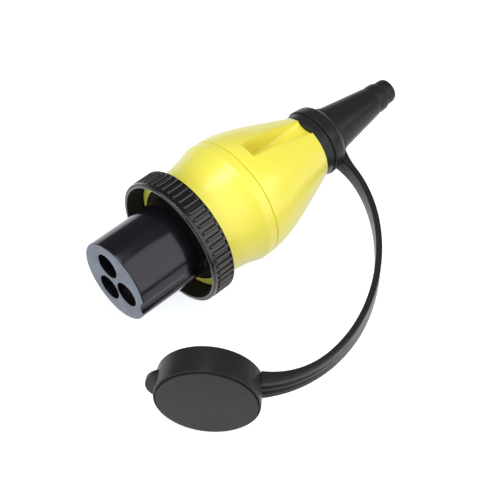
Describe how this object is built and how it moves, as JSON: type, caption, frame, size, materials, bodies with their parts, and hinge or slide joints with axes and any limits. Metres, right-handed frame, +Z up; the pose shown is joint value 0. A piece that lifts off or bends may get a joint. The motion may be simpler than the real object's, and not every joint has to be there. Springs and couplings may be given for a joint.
{
  "type": "shore power plug",
  "caption": "Round shore power plug with a black contact insert, ribbed coupling ring, two-part yellow body, rubber cable boot and tethered sealing cap.",
  "frame": {"origin": "centre of the contact insert's mating face, on the plug's axis", "axes": "+X along the plug's axis from the mating face towards the cable, +Z up as the plug lies"},
  "size_m": [0.2122, 0.1309, 0.0662],
  "materials": {
    "body_yellow": "satin moulded",
    "insert_black": "glossy moulded",
    "ring_black": "satin moulded",
    "boot_rubber": "matt moulded",
    "seal_rubber": "matt moulded",
    "contact_brass": "turned",
    "screw_steel": "turned"
  },
  "bodies": {
    "plug": {"contact_insert": "insert_black", "contact_line": "contact_brass", "contact_neutral": "contact_brass", "contact_earth": "contact_brass", "terminal_screws": "screw_steel", "contact_retainer": "insert_black", "retainer_screw": "screw_steel", "insert_screws": "screw_steel", "front_seal": "seal_rubber", "front_shell": "body_yellow", "shell_seal": "seal_rubber", "rear_shell": "body_yellow", "shell_screw_top": "screw_steel", "shell_screw_bottom": "screw_steel", "screw_inserts": "contact_brass", "clamp_base": "insert_black", "clamp_bar": "insert_black", "clamp_screws": "screw_steel", "cable_grommet": "seal_rubber", "grommet_washer": "screw_steel", "cable_boot": "boot_rubber", "tethered_cap": "boot_rubber"},
    "ring": {"coupling_ring": "ring_black"}
  },
  "joints": [
    {"name": "ring_turn", "type": "hinge", "parent": "plug", "child": "ring", "pos_m": [0.0397, 0, 0], "axis": [1, 0, 0], "continuous": true}
  ]
}
